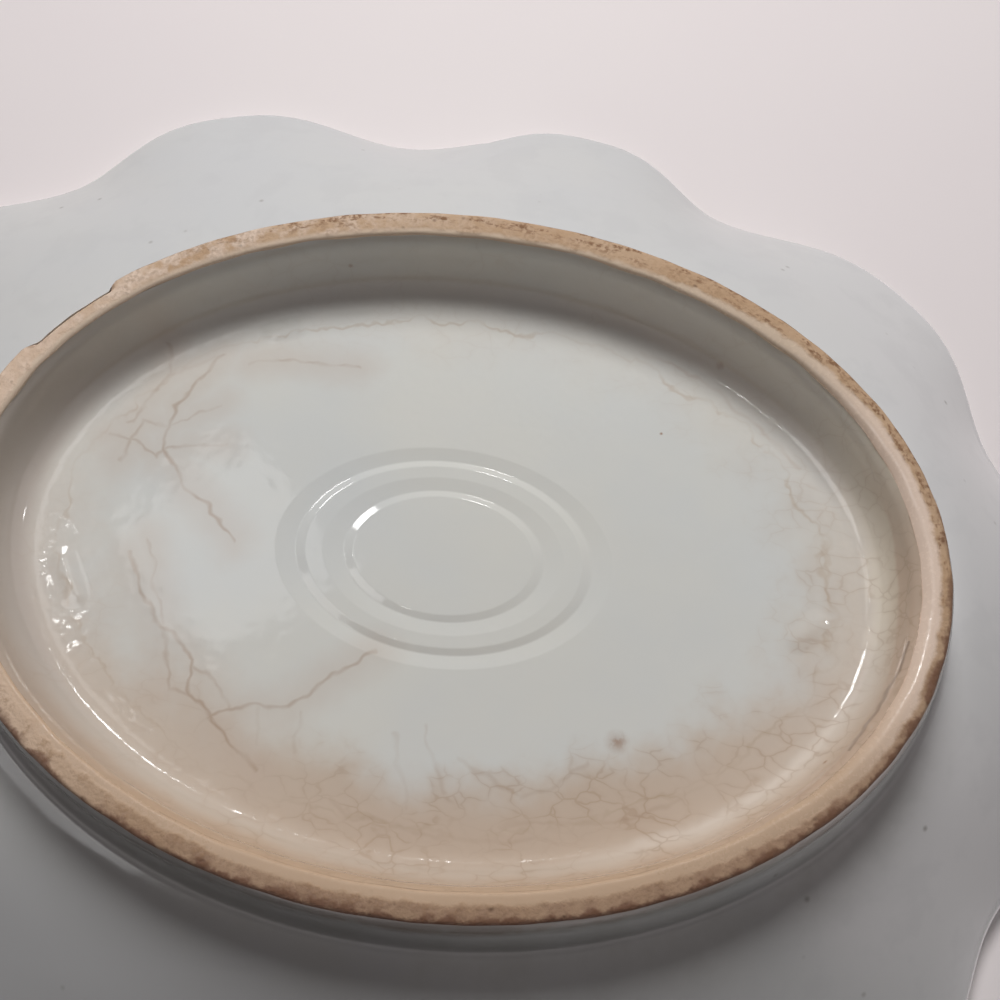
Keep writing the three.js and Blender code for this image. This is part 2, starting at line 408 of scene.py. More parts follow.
def recess_coat():
    """The glaze inside the foot: the recess floor, shrunk rings of its edge, and the cove out to the bare band.

    A plain oval panel is pressed into the middle: twice, going in, the floor sinks in a long straight ramp and comes
    back in a short one. The rings lie close together there.
    """
    shares = joined(np.linspace(0.02, 0.21, 10), np.linspace(0.215, 0.43, 64), np.linspace(0.44, 0.99, 24))
    begin = glaze_line(GLAZE_LINE_ANGLE + GLAZE_LINE_AT_LIP * LIP, 0.3)
    lifts = 90 + (begin - 90) * column(np.linspace(0, 1, RECESS_COVE_RINGS))
    coved = cove(lifts, -BAND_WIDTH, -INNER_COVE_RUN, COVE_SQUARENESS)
    clay = joined(floor_rings(coved[0], shares), coved)
    sunk = joined(np.interp(shares, PANEL_SHARES, PANEL_SINKS), np.zeros(RECESS_COVE_RINGS))
    full = joined(np.ones((len(shares), len(TURN))), glaze_edge(lifts, begin))
    spread = joined(shares, np.ones(RECESS_COVE_RINGS))
    uneven = RECESS_WAVER * waver([2, 3, 5], 0.9) * column(spread)
    face = offset(clay, (SKIN_DEPTH + uneven) * full - EDGE_SINK * (1 - full) - column(sunk))
    back = offset(clay, SEAT_GAP * full - 4 * EDGE_SINK * (1 - full))[::-RECESS_BACK_STEP]
    climb = joined(shares, np.linspace(1, 2, RECESS_COVE_RINGS))
    climb = joined(climb, climb[::-RECESS_BACK_STEP])
    return skin("recess_coat", joined(face, back), False, climb=climb)


def rim_edge(angle):
    """How near a place on the rim is to its outermost edge: exp(-(a / 16)^2), with a in degrees from the seam."""
    return np.exp(-((angle - SEAM_ANGLE) / RIM_WEAR_ANGLE) ** 2)


def wall_coat():
    """The glaze outside the foot: up the outer cove, along the wall and round the rim to the seam at its edge.

    A last ring is tucked under the upper face's glaze, so the seam is closed.
    """
    begin = glaze_line(GLAZE_LINE_ANGLE, 1.7) + GLAZE_LINE_AT_CHIP * CHIP_RAGGED
    lifts = begin + (90 - begin) * column(np.linspace(0, 1, WALL_COVE_RINGS))
    coved = cove(lifts, 0.0, OUTER_COVE_RUN)
    shares = np.linspace(0, 1, WALL_RINGS)
    low_cap = RIM_TILT - 90
    cap_angles = np.append(np.linspace(low_cap, SEAM_ANGLE, RIM_RINGS)[1:], SEAM_ANGLE + SEAM_TUCK_ANGLE)
    walled = wall(column(shares[1:]), OUTER_COVE_RUN, CLAY_SEAT, low_cap)
    clay = joined(coved, walled, cap(column(cap_angles)))
    rise = joined(np.zeros(len(coved)), shares[1:], np.ones(len(cap_angles)))
    beyond_cove = len(clay) - len(coved)
    lift = joined(np.linspace(0, 1, len(coved)), np.ones(beyond_cove))
    edge = joined(np.zeros(len(coved) + len(walled)), rim_edge(cap_angles))
    full = joined(glaze_edge(lifts, begin), np.ones((beyond_cove, len(TURN))))
    uneven = COAT_WAVER * waver([3, 5, 8], 0.2) * column(np.sin(np.pi * rise))
    tucked = np.append(np.zeros(len(clay) - 1), SEAM_TUCK)
    face = offset(clay, (SKIN_DEPTH + uneven) * full - EDGE_SINK * (1 - full) - column(tucked))
    back = offset(clay, SEAT_GAP * full - 4 * EDGE_SINK * (1 - full))[::-BACK_STEP]
    marks = {"rise": rise, "lift": lift, "edge": edge}
    marks = {name: joined(mark, mark[::-BACK_STEP]) for name, mark in marks.items()}
    return skin("wall_coat", joined(face, back), True, **marks)


def bowl_coat():
    """The glaze of the upper face: the bowl's floor, its wall and the rim's top, down to the seam at its edge."""
    high_cap = RIM_TILT + 90
    shares = np.linspace(0, 1, WALL_RINGS)
    walled = wall(column(shares), OUTER_COVE_RUN - BOWL_FLOOR_INSET, BOWL_FLOOR_HEIGHT, high_cap)
    cap_angles = np.linspace(high_cap, SEAM_ANGLE, BOWL_RIM_RINGS)[1:]
    floored = floor_rings(walled[0], np.linspace(0.02, 0.98, BOWL_FLOOR_RINGS))
    clay = joined(floored, walled, cap(column(cap_angles)))
    rise = joined(np.zeros(len(floored)), shares, np.ones(len(cap_angles)))
    edge = joined(np.zeros(len(floored) + len(walled)), rim_edge(cap_angles))
    uneven = COAT_WAVER * waver([3, 5, 8], 1.2) * column(np.sin(np.pi * rise))
    face = offset(clay, -SKIN_DEPTH + uneven)[::-1]
    back = offset(clay, -SEAT_GAP)[::BACK_STEP]
    edge = joined(edge[::BACK_STEP], edge[::-1])
    return skin("bowl_coat", joined(back, face), False, edge=edge)


# Finishes


class Bench:
    """Lays nodes into one tree. A value for a socket is a plain number, a tuple or another node's output."""

    def __init__(self, tree):
        self.tree = tree

    def fill(self, node, values):
        """Sets a node's inputs, with a link where the value is another node's output."""
        for name, value in values.items():
            if isinstance(value, bpy.types.NodeSocket):
                self.tree.links.new(value, node.inputs[name])
            else:
                node.inputs[name].default_value = value

    def lay(self, kind, values, **settings):
        """A new node with its settings and inputs."""
        node = self.tree.nodes.new(kind)
        for name, value in settings.items():
            setattr(node, name, value)
        self.fill(node, values)
        return node

    def work(self, operation, first, second=0.0):
        """One step of arithmetic on a number or two."""
        return self.lay("ShaderNodeMath", {0: first, 1: second}, operation=operation).outputs[0]

    def times(self, first, *others):
        """The product of some numbers."""
        for other in others:
            first = self.work("MULTIPLY", first, other)
        return first

    def plus(self, first, second):
        """The sum of two numbers."""
        return self.work("ADD", first, second)

    def minus(self, first, second):
        """The first number less the second."""
        return self.work("SUBTRACT", first, second)

    def sway(self, cloud, reach):
        """A cloud made a push to both sides: its value less a half, times the reach."""
        return self.times(self.minus(cloud, 0.5), reach)

    def move(self, operation, first, second=(0, 0, 0), third=(0, 0, 0)):
        """One step of arithmetic on vectors."""
        values = {0: first, 1: second}
        if operation == "MULTIPLY_ADD":
            values[2] = third
        return self.lay("ShaderNodeVectorMath", values, operation=operation).outputs["Vector"]

    def dot(self, first, second):
        """How far one vector reaches along another."""
        return self.lay("ShaderNodeVectorMath", {0: first, 1: second}, operation="DOT_PRODUCT").outputs["Value"]

    def step(self, value, low, high, start=0.0, end=1.0):
        """A smooth change from start, where the value is low, to end, where it is high."""
        values = {"Value": value, "From Min": low, "From Max": high, "To Min": start, "To Max": end}
        return self.lay("ShaderNodeMapRange", values, interpolation_type="SMOOTHSTEP").outputs["Result"]

    def blend(self, share, first, second):
        """The first colour, with a share of the second laid over it."""
        values = {0: share, 6: first, 7: second}
        return self.lay("ShaderNodeMix", values, data_type="RGBA").outputs[2]

    def mark(self, name):
        """A number that the mesh carries."""
        return self.lay("ShaderNodeAttribute", {}, attribute_name=name).outputs["Fac"]

    def use(self, group, **values):
        """A shared effect, with its inputs by name."""
        return self.lay("ShaderNodeGroup", values, node_tree=group).outputs[0]

    def cloud(self, place, size, variety):
        """Soft patches of a size. Each variety lies differently."""
        return self.use(CLOUD, Place=place, Size=size, Variety=variety)

    def close(self, value):
        """Ends a shared effect with its one output."""
        self.lay("NodeGroupOutput", {0: value})
        return self.tree

    def place(self):
        """Object coordinates in millimetres about the middle of the foot."""
        own = self.lay("ShaderNodeTexCoord", {}).outputs["Object"]
        return self.move("MULTIPLY_ADD", own, (1 / MM,) * 3, (-FOOT_MIDDLE, 0, 0))


def effect(name, vectors, numbers, output):
    """An empty shader node group: its bench and its inputs by name."""
    tree = bpy.data.node_groups.new(name, "ShaderNodeTree")
    for socket in vectors + numbers:
        kind = "NodeSocketVector" if socket in vectors else "NodeSocketFloat"
        tree.interface.new_socket(socket, in_out="INPUT", socket_type=kind)
    tree.interface.new_socket(output, in_out="OUTPUT", socket_type="NodeSocketFloat")
    return Bench(tree), tree.nodes.new("NodeGroupInput").outputs


def cloud_effect():
    """Soft patches: four-dimensional noise at a size, stretched so that it fills 0 to 1."""
    bench, given = effect("cloud", ["Place"], ["Size", "Variety"], "Cloud")
    scale = bench.work("DIVIDE", 1.0, given["Size"])
    values = {"Vector": given["Place"], "W": given["Variety"], "Scale": scale, "Detail": 3.0, "Roughness": 0.55}
    noise = bench.lay("ShaderNodeTexNoise", values, noise_dimensions="4D").outputs[0]
    return bench.close(bench.step(noise, 0.28, 0.72))


def craze_effect():
    """How far a place is from a craze line: the walls between the cells of a Voronoi pattern that noise has bent."""
    bench, given = effect("craze", ["Place"], ["Cell"], "Away")
    bend_scale = bench.work("DIVIDE", 0.9, given["Cell"])
    noise = bench.lay("ShaderNodeTexNoise", {"Vector": given["Place"], "Scale": bend_scale, "Detail": 2.0}).outputs[1]
    centred = bench.move("SUBTRACT", noise, (0.5, 0.5, 0.5))
    bend = bench.lay("ShaderNodeVectorMath", {0: centred, 3: given["Cell"]}, operation="SCALE").outputs[0]
    bent = bench.move("ADD", given["Place"], bend)
    cell_scale = bench.work("DIVIDE", 1.0, given["Cell"])
    values = {"Vector": bent, "Scale": cell_scale}
    gap = bench.lay("ShaderNodeTexVoronoi", values, feature="DISTANCE_TO_EDGE").outputs[0]
    return bench.close(bench.times(gap, given["Cell"]))


def trace_effect():
    """How far a place is from the straight leg between two others, or from a spot where both are one."""
    bench, given = effect("trace", ["Place", "Start", "End"], [], "Away")
    run = bench.move("SUBTRACT", given["End"], given["Start"])
    gone = bench.move("SUBTRACT", given["Place"], given["Start"])
    share = bench.work("DIVIDE", bench.dot(gone, run), bench.dot(run, run))
    held = bench.lay("ShaderNodeClamp", {0: share}).outputs[0]
    nearest = bench.lay("ShaderNodeVectorMath", {0: run, 3: held}, operation="SCALE").outputs[0]
    aside = bench.move("SUBTRACT", gone, nearest)
    gap = bench.lay("ShaderNodeVectorMath", {0: aside}, operation="LENGTH").outputs["Value"]
    return bench.close(gap)


def speck_effect():
    """Specks: the centres of Voronoi cells, kept only where a patch of noise is high."""
    bench, given = effect("specks", ["Place"], ["Spacing", "Width", "Thinning"], "Specks")
    scale = bench.work("DIVIDE", 1.0, given["Spacing"])
    cells = bench.lay("ShaderNodeTexVoronoi", {"Vector": given["Place"], "Scale": scale, "Randomness": 1.0})
    away = bench.times(cells.outputs["Distance"], given["Spacing"])
    spot = bench.step(away, 0.0, given["Width"], 1.0, 0.0)
    chance = bench.lay("ShaderNodeSeparateColor", {0: cells.outputs["Color"]}).outputs[0]
    kept = bench.work("GREATER_THAN", chance, given["Thinning"])
    return bench.close(bench.times(spot, kept))


CLOUD = cloud_effect()
CRAZE = craze_effect()
TRACE = trace_effect()
SPECKS = speck_effect()


def finish(name):
    """An empty material: its bench and its shader."""
    material = bpy.data.materials.new(name)
    material.use_nodes = True
    return material, Bench(material.node_tree), material.node_tree.nodes["Principled BSDF"]


def surface(bench, shader, colour, rough, height, strength, distance):
    """Gives the shader its colour, its roughness and a relief of so many millimetres."""
    relief = bench.lay("ShaderNodeBump", {"Height": height, "Strength": strength, "Distance": distance * MM})
    bench.fill(shader, {"Base Color": colour, "Roughness": rough, "Normal": relief.outputs["Normal"]})


# The photograph's frame: right, away from the camera and up, in millimetres from the middle of the foot. The dish lies
# upside down there and a little turned.
PHOTO_TURN = math.radians(-8.65)
PHOTO_AXES = Matrix((
    (math.cos(PHOTO_TURN), math.sin(PHOTO_TURN), 0),
    (math.sin(PHOTO_TURN), -math.cos(PHOTO_TURN), 0),
    (0, 0, -1),
))


def photo_direction(right, away, up):
    """A direction of the photograph's frame in the dish's own frame."""
    return PHOTO_AXES @ Vector((right, away, up))


def photo_place(right, away, up):
    """A place of the photograph's frame in the dish's own frame, in metres."""
    return photo_direction(right, away, up) * MM + Vector((FOOT_MIDDLE * MM, 0, 0))


# Directions that count 1 at the foot's near side and at its right end
TO_NEAR = tuple(photo_direction(0, -1 / FOOT_HALF_WIDTH, 0))
TO_RIGHT = tuple(photo_direction(1 / FOOT_HALF_LENGTH, 0, 0))

# Whites of the glaze, with painted light and painted shade for the wall
RECESS_COOL_WHITE = (0.71, 0.725, 0.71, 1)
RECESS_WARM_WHITE = (0.75, 0.745, 0.695, 1)
WALL_COOL_WHITE = (0.65, 0.655, 0.66, 1)
WALL_WARM_WHITE = (0.68, 0.675, 0.66, 1)
# Painted light: the wall's right end is made lighter
WALL_RIGHT_END_LIGHT = (0.77, 0.755, 0.755, 1)
# Painted light and painted shade for two patches of the wall
WALL_PATCH_LIGHT = (0.82, 0.80, 0.80, 1)
WALL_PATCH_SHADE = (0.45, 0.45, 0.455, 1)
WALL_MOTTLE = (0.50, 0.50, 0.51, 1)
# Painted shade for the wall by the foot
WALL_FOOT_SHADE = (0.50, 0.495, 0.455, 1)
BOWL_COOL_WHITE = (0.715, 0.73, 0.73, 1)
BOWL_WARM_WHITE = (0.74, 0.74, 0.725, 1)

# Stains, lines and specks in the glaze, with some painted light and painted shade
PINK_STAIN = (0.585, 0.455, 0.345, 1)
WASHED_STAIN = (0.79, 0.70, 0.61, 1)
# Painted light for the recess's right cove
RIGHT_COVE_LIGHT = (0.88, 0.80, 0.66, 1)
TAN_STAIN = (0.575, 0.40, 0.27, 1)
WIPED_STAIN = (0.60, 0.43, 0.32, 1)
# Painted shade, a little brown, for the recess's left cove
LEFT_COVE_SHADE = (0.475, 0.405, 0.355, 1)
BOWL_STAIN = (0.60, 0.50, 0.40, 1)
MARGIN_LINE = (0.50, 0.39, 0.28, 1)
CRAZE_LINE = (0.42, 0.29, 0.19, 1)
BOWL_CRAZE_LINE = (0.45, 0.35, 0.26, 1)
CRACK_HAZE = (0.60, 0.485, 0.40, 1)
CRACK_STAIN = (0.39, 0.26, 0.17, 1)
HAIRLINE_STAIN = (0.20, 0.13, 0.09, 1)
FIRED_SPECK = (0.33, 0.17, 0.085, 1)
PINHOLE = (0.20, 0.17, 0.14, 1)
# Painted shade, dark brown, for the strip under the foot's edge
FOOT_EDGE_SHADE = (0.24, 0.165, 0.11, 1)
WORN_RIM = (0.45, 0.32, 0.21, 1)

# Bare clay of the foot
FOOT_TAN = (0.50, 0.325, 0.195, 1)
FOOT_LIGHT_TAN = (0.57, 0.395, 0.26, 1)
FOOT_BROWN = (0.33, 0.205, 0.135, 1)
CHALKY_CLAY = (0.82, 0.67, 0.56, 1)
RUBBED_CLAY = (0.80, 0.61, 0.47, 1)
FOOT_MOTTLE = (0.37, 0.225, 0.125, 1)
BURNT_STREAK = (0.25, 0.135, 0.07, 1)
BURNT_EDGE = (0.15, 0.07, 0.04, 1)
FOOT_PIT = (0.16, 0.09, 0.05, 1)
FLAKE_FACE = (0.70, 0.53, 0.43, 1)
FLAKE_EDGE = (0.27, 0.16, 0.09, 1)
FAR_SMEAR = (0.69, 0.55, 0.42, 1)
NEAR_SMEAR = (0.61, 0.435, 0.30, 1)
FRONT_SMEAR = (0.90, 0.72, 0.60, 1)

# Clay under the glaze
CLAY_DARK = (0.70, 0.66, 0.58, 1)
CLAY_LIGHT = (0.76, 0.72, 0.65, 1)
GROG = (0.42, 0.33, 0.24, 1)

# Stained cracks in the recess, each a path of places in millimetres from the middle of the foot
LONG_CRACKS = [
    [(-42, -30), (-48, -20), (-47.5, -11), (-40, -3.5), (-33, 2)],
    [(-49, 6.5), (-42.5, 16.5), (-35, 22), (-34.5, 27), (-27, 32.5), (-22, 37)],
    [(-30.5, 30), (-27.5, 28.5), (-19.5, 27), (-13, 21), (-7.5, 17)],
]
FINE_CRACKS = [
    [(-48.5, -16), (-45.5, -17), (-40.5, -21)],
    [(-47.5, -11), (-43.5, -13), (-38, -14)],
    [(-47.5, -11), (-48.5, -9.5), (-51.5, -11.5), (-56.5, -13)],
    [(-48.5, -16), (-53, -16), (-54.5, -8.5)],
    [(-37.5, -29), (-31.5, -30.5), (-19, -31)],
    [(-43, -29.5), (-50, -25.5), (-55, -15)],
    [(-50, -25.5), (-51, -30)],
    [(-27.5, 28.5), (-32, 23.5), (-35, 23)],
    [(-46.5, 4), (-39.5, 20.5), (-38, 26.5), (-34.5, 27)],
]
FAINT_CRACKS = [
    [(-3, 29), (1.5, 39)],
    [(1.5, 27), (6, 36)],
    [(7, 31), (10, 32.5), (17, 35.5)],
    [(-17, 27.5), (-17, 33)],
    [(-23.5, 28.5), (-22.5, 33.5)],
    [(-10, 39.5), (-5.5, 41.5), (0.5, 41.5), (6.5, 42.5), (12, 42.5), (18, 41.5), (23, 41)],
    [(14.5, 39.5), (20.5, 38.5), (27.5, 37.5), (34.5, 35.5), (40, 32.5)],
    [(17, 35.5), (22.5, 31.5), (26.5, 29)],
    [(27, -40), (37.5, -37), (44.5, -31.5), (50.5, -26), (54.5, -22.5)],
]
HAIRLINE = [(69.5, 7), (68.2, 11.5), (65.5, 17.5), (61.5, 23.8)]
# Legs along the middles of a patch of painted shade on the near left of the wall and a patch of painted light on its
# near right
PAINTED_SHADE_PATCH = [(-90, 66), (-8, 72)]
PAINTED_LIGHT_PATCH = [(68, 38), (80, 26)]
# Places where the rim is rubbed through to the clay
RUBBED_RIM = [
    [(33, -88.5), (40, -85)],
    [(-90, -73), (-84, -76)],
]
# Fired-in specks of the recess: place, half width and depth of colour
SPOTS = [
    ((-23.1, -46.9, 6.9), 0.7, 0.6),
    ((31.7, -25.6, 12.5), 0.4, 0.9),
    ((40.3, -38.5, 10.7), 1.0, 0.5),
    ((59.7, 24.9, 8.3), 0.6, 0.8),
    ((30.1, 25.3, 12.5), 2.2, 0.7),
]
# Beads where the glaze has run, each along a short leg
BEADS = [
    ((-59.0, 9.0), (-55.5, 14.5)),
    ((55.8, 6.0), (58.6, 3.0)),
    ((-34.5, -35.3), (-31.0, -37.0)),
]


def away_from(bench, place, paths):
    """How far a place is from the nearest leg of some paths."""
    legs = [leg for path in paths for leg in zip(path, path[1:])]
    nearest = 1000.0
    for start, end in legs:
        away = bench.use(TRACE, Place=place, Start=(*start, 0), End=(*end, 0))
        nearest = bench.work("MINIMUM", nearest, away)
    return nearest


def recess_finish():
    """Clear gloss on white clay, stained and crazed round the floor and by the foot, with long and faint cracks.
    Painted light makes the right cove lighter and painted shade makes the left cove darker.
    """
    material, bench, shader = finish("recess_glaze")
    place = bench.place()
    flat = bench.move("MULTIPLY", place, (1, 1, 0))
    climb = bench.mark("climb")
    near = bench.dot(place, TO_NEAR)
    right = bench.dot(place, TO_RIGHT)
    broad = bench.cloud(place, 34, 1)
    small = bench.cloud(place, 7, 4)

    white = bench.blend(broad, RECESS_COOL_WHITE, RECESS_WARM_WHITE)

    swing = bench.plus(bench.sway(small, 0.09), bench.sway(broad, 0.10))
    ragged = bench.plus(climb, swing)
    reach = bench.plus(ragged, bench.step(near, 0.2, 0.9, 0.0, 0.15))
    outward = bench.plus(near, bench.times(bench.work("ABSOLUTE", right), 0.2))
    side = bench.step(outward, -0.5, 1.0, 0.16, 0.92)
    to_left = bench.step(right, -0.1, -0.65, 1.0, 0.85)
    to_right = bench.step(right, 0.35, 0.95, 1.0, 0.78)
    by_floor = bench.times(bench.step(reach, 0.76, 1.03), bench.step(ragged, 1.1, 1.5, 1.0, 0.6))
    by_floor = bench.times(by_floor, side, to_left, to_right)
    clean = bench.times(bench.step(right, 0.15, 0.5), bench.step(ragged, 1.12, 1.28, 0.0, 0.8))
    clean = bench.times(clean, bench.step(near, 0.1, 0.65, 0.4, 1.0))
    by_foot = bench.times(bench.step(reach, 1.25, 1.97), bench.step(near, -0.4, 0.6), to_right)
    pinkish = bench.blend(by_floor, white, PINK_STAIN)
    pinkish = bench.blend(clean, pinkish, WASHED_STAIN)
    # Painted light: the middle of the recess's right cove made lighter
    right_cove_brightening = bench.times(bench.step(right, 0.72, 0.95), bench.step(ragged, 1.1, 1.4, 0.0, 0.75))
    right_cove_brightening = bench.times(right_cove_brightening, bench.step(near, 0.45, 0.15), bench.step(near, -0.6, -0.25))
    pinkish = bench.blend(right_cove_brightening, pinkish, RIGHT_COVE_LIGHT)
    tanned = bench.blend(by_foot, pinkish, TAN_STAIN)
    wiped = bench.times(bench.step(ragged, 1.66, 1.74), bench.step(right, 0.3, 0.65))
    wiped = bench.times(wiped, bench.step(near, -0.3, 0.15, 0.0, 0.6))
    tanned = bench.blend(wiped, tanned, WIPED_STAIN)
    # Painted shade: the recess's left cove made darker and browner
    left_cove_darkening = bench.times(bench.step(right, -0.5, -0.95), bench.step(climb, 0.98, 1.3, 0.0, 0.75))
    tanned = bench.blend(left_cove_darkening, tanned, LEFT_COVE_SHADE)
    margin = bench.plus(climb, bench.times(small, 0.07))
    margin = bench.work("ABSOLUTE", bench.minus(margin, 1.0))
    margin = bench.times(bench.step(margin, 0.012, 0.0), bench.step(small, 0.3, 0.8, 0.1, 0.4))
    tanned = bench.blend(margin, tanned, MARGIN_LINE)

    stretched = bench.move("MULTIPLY", place, (0.85, 1.35, 0.85))
    aside = bench.use(CRAZE, Place=stretched, Cell=3.9)
    veins = bench.plus(bench.step(aside, 0.0, 0.8, 0.18, 0.0), bench.step(aside, 0.02, 0.2, 0.34, 0.0))
    veined = bench.times(bench.step(reach, 0.74, 0.98), bench.step(right, -0.75, 0.0, 0.3, 1.0))
    veined = bench.times(veined, side, bench.step(small, 0.2, 0.9, 0.15, 1.0))
    crazed = bench.blend(bench.times(veins, veined), tanned, CRAZE_LINE)

    wriggle_noise = bench.lay("ShaderNodeTexNoise", {"Vector": flat, "Scale": 0.2, "Detail": 2.0}).outputs[1]
    wriggle = bench.move("MULTIPLY_ADD", wriggle_noise, (3.4, 3.4, 0), (-1.7, -1.7, 0))
    bent = bench.move("ADD", flat, wriggle)
    slightly_bent = bench.move("MULTIPLY_ADD", wriggle, (0.15, 0.15, 0), flat)
    long_away = away_from(bench, bent, LONG_CRACKS)
    fine_away = away_from(bench, bent, FINE_CRACKS)
    faint_away = away_from(bench, bent, FAINT_CRACKS)
    haze = bench.step(bench.work("MINIMUM", long_away, fine_away), 0.0, 6.0, 0.32, 0.0)
    hazed = bench.blend(haze, crazed, CRACK_HAZE)
    fine = bench.times(bench.step(fine_away, 0.0, 0.48, 1.0, 0.0), bench.step(small, 0.1, 0.9, 0.10, 0.34))
    long = bench.times(bench.step(long_away, 0.0, 0.52, 1.0, 0.0), bench.step(small, 0.0, 0.8, 0.20, 0.50))
    faint = bench.times(bench.step(faint_away, 0.0, 0.6, 1.0, 0.0), bench.step(small, 0.1, 0.9, 0.08, 0.22))
    fine = bench.work("MAXIMUM", fine, faint)
    cracked = bench.blend(bench.work("MAXIMUM", fine, long), hazed, CRACK_STAIN)
    hairline = bench.step(away_from(bench, slightly_bent, [HAIRLINE]), 0.02, 0.20, 0.6, 0.0)
    cracked = bench.blend(hairline, cracked, HAIRLINE_STAIN)
    shaken = bench.move("MULTIPLY_ADD", wriggle, (0.3, 0.3, 0), place)
    spots = 0.0
    for middle, width, depth in SPOTS:
        spot = bench.step(bench.use(TRACE, Place=shaken, Start=middle, End=middle), 0.0, width, depth, 0.0)
        spots = bench.work("MAXIMUM", spots, spot)
    fine_patch = bench.cloud(place, 1.3, 9)
    spots = bench.times(spots, bench.step(fine_patch, 0.1, 0.8, 0.5, 1.0))
    spotted = bench.blend(spots, cracked, FIRED_SPECK)

    ripple = bench.cloud(place, 11, 2)
    pooled = bench.times(bench.step(climb, 0.86, 0.98), bench.step(climb, 1.4, 1.1))
    ripple = bench.plus(ripple, bench.times(pooled, small, 1.4))
    bead = bench.step(away_from(bench, flat, BEADS), 0.0, 2.6, 5.0, 0.0)
    rough = bench.plus(0.07, bench.times(by_floor, 0.05))
    height = bench.plus(ripple, bead)
    surface(bench, shader, spotted, rough, height, 0.4, 0.14)
    return material


def wall_finish():
    """Clear gloss on white clay, with pinholes and a worn rim. Painted shade darkens a near-left patch and the wall by
    the foot, with a dark brown strip under the foot's edge; painted light brightens a near-right patch and the right
    end.
    """
    material, bench, shader = finish("wall_glaze")
    place = bench.place()
    rise = bench.mark("rise")
    broad = bench.cloud(place, 46, 3)
    small = bench.cloud(place, 8, 6)
    white = bench.blend(broad, WALL_COOL_WHITE, WALL_WARM_WHITE)
    near = bench.dot(place, TO_NEAR)
    right = bench.dot(place, TO_RIGHT)
    # Painted light: the wall grows lighter towards its right end
    white = bench.blend(bench.step(right, 0.6, 1.35), white, WALL_RIGHT_END_LIGHT)
    flat = bench.move("MULTIPLY", place, (1, 1, 0))
    # Painted shade: a darker patch on the near left of the wall
    painted_shade_share = bench.step(away_from(bench, flat, [PAINTED_SHADE_PATCH]), 6.0, 30.0, 0.75, 0.0)
    white = bench.blend(painted_shade_share, white, WALL_PATCH_SHADE)
    # Painted light: a lighter patch on the near right of the wall
    paler = bench.step(away_from(bench, flat, [PAINTED_LIGHT_PATCH]), 6.0, 20.0, 0.9, 0.0)
    white = bench.blend(paler, white, WALL_PATCH_LIGHT)
    white = bench.blend(bench.step(small, 0.45, 1.0, 0.0, 0.12), white, WALL_MOTTLE)
    # Painted shade: the wall darker near the foot on the near side
    shaded = bench.times(bench.step(rise, 0.35, 0.0), bench.step(near, 0.1, 1.0))
    shaded = bench.times(shaded, bench.step(small, 0.0, 1.0, 0.2, 0.5))
    foot_shaded = bench.blend(shaded, white, WALL_FOOT_SHADE)
    # Painted shade: a dark brown strip just under the foot's edge on the near side, weaker to the left
    ragged = bench.plus(bench.mark("lift"), bench.sway(small, 0.2))
    edge_shade_mask = bench.times(bench.step(ragged, 0.30, 0.02), bench.step(near, -0.2, 0.5, 0.0, 0.75))
    edge_shade_mask = bench.times(edge_shade_mask, bench.step(right, -0.75, -0.25, 0.35, 1.0))
    edge_shaded = bench.blend(edge_shade_mask, foot_shaded, FOOT_EDGE_SHADE)
    worn = bench.times(bench.mark("edge"), bench.step(small, 0.55, 0.9))
    rubbed = bench.step(away_from(bench, flat, RUBBED_RIM), 1.0, 4.5, 1.6, 0.0)
    worn = bench.work("MAXIMUM", worn, bench.times(bench.mark("edge"), rubbed))
    edged = bench.blend(bench.times(worn, 0.4), edge_shaded, WORN_RIM)
    pinholes = bench.use(SPECKS, Place=place, Spacing=6.0, Width=0.7, Thinning=0.62)
    speckled = bench.blend(bench.times(pinholes, 0.6), edged, PINHOLE)
    ripple = bench.cloud(place, 15, 7)
    rough = bench.plus(0.09, bench.times(small, 0.05))
    surface(bench, shader, speckled, rough, ripple, 0.35, 0.14)
    return material


def bowl_finish():
    """Clear gloss on white clay, with faint stained patches, fine crazing there, pinholes and a worn rim."""
    material, bench, shader = finish("bowl_glaze")
    place = bench.place()
    broad = bench.cloud(place, 50, 5)
    small = bench.cloud(place, 8, 2)
    white = bench.blend(broad, BOWL_COOL_WHITE, BOWL_WARM_WHITE)
    white = bench.blend(bench.step(broad, 0.4, 1.0, 0.0, 0.14), white, BOWL_STAIN)
    aside = bench.use(CRAZE, Place=place, Cell=7.5)
    lines = bench.times(bench.step(aside, 0.0, 0.26, 0.26, 0.0), bench.step(broad, 0.35, 1.0))
    crazed = bench.blend(lines, white, BOWL_CRAZE_LINE)
    worn = bench.times(bench.mark("edge"), bench.step(small, 0.55, 0.9))
    edged = bench.blend(bench.times(worn, 0.4), crazed, WORN_RIM)
    pinholes = bench.use(SPECKS, Place=place, Spacing=9.0, Width=0.5, Thinning=0.7)
    speckled = bench.blend(bench.times(pinholes, 0.55), edged, PINHOLE)
    ripple = bench.cloud(place, 15, 8)
    rough = bench.plus(0.09, bench.times(small, 0.06))
    surface(bench, shader, speckled, rough, ripple, 0.35, 0.14)
    return material


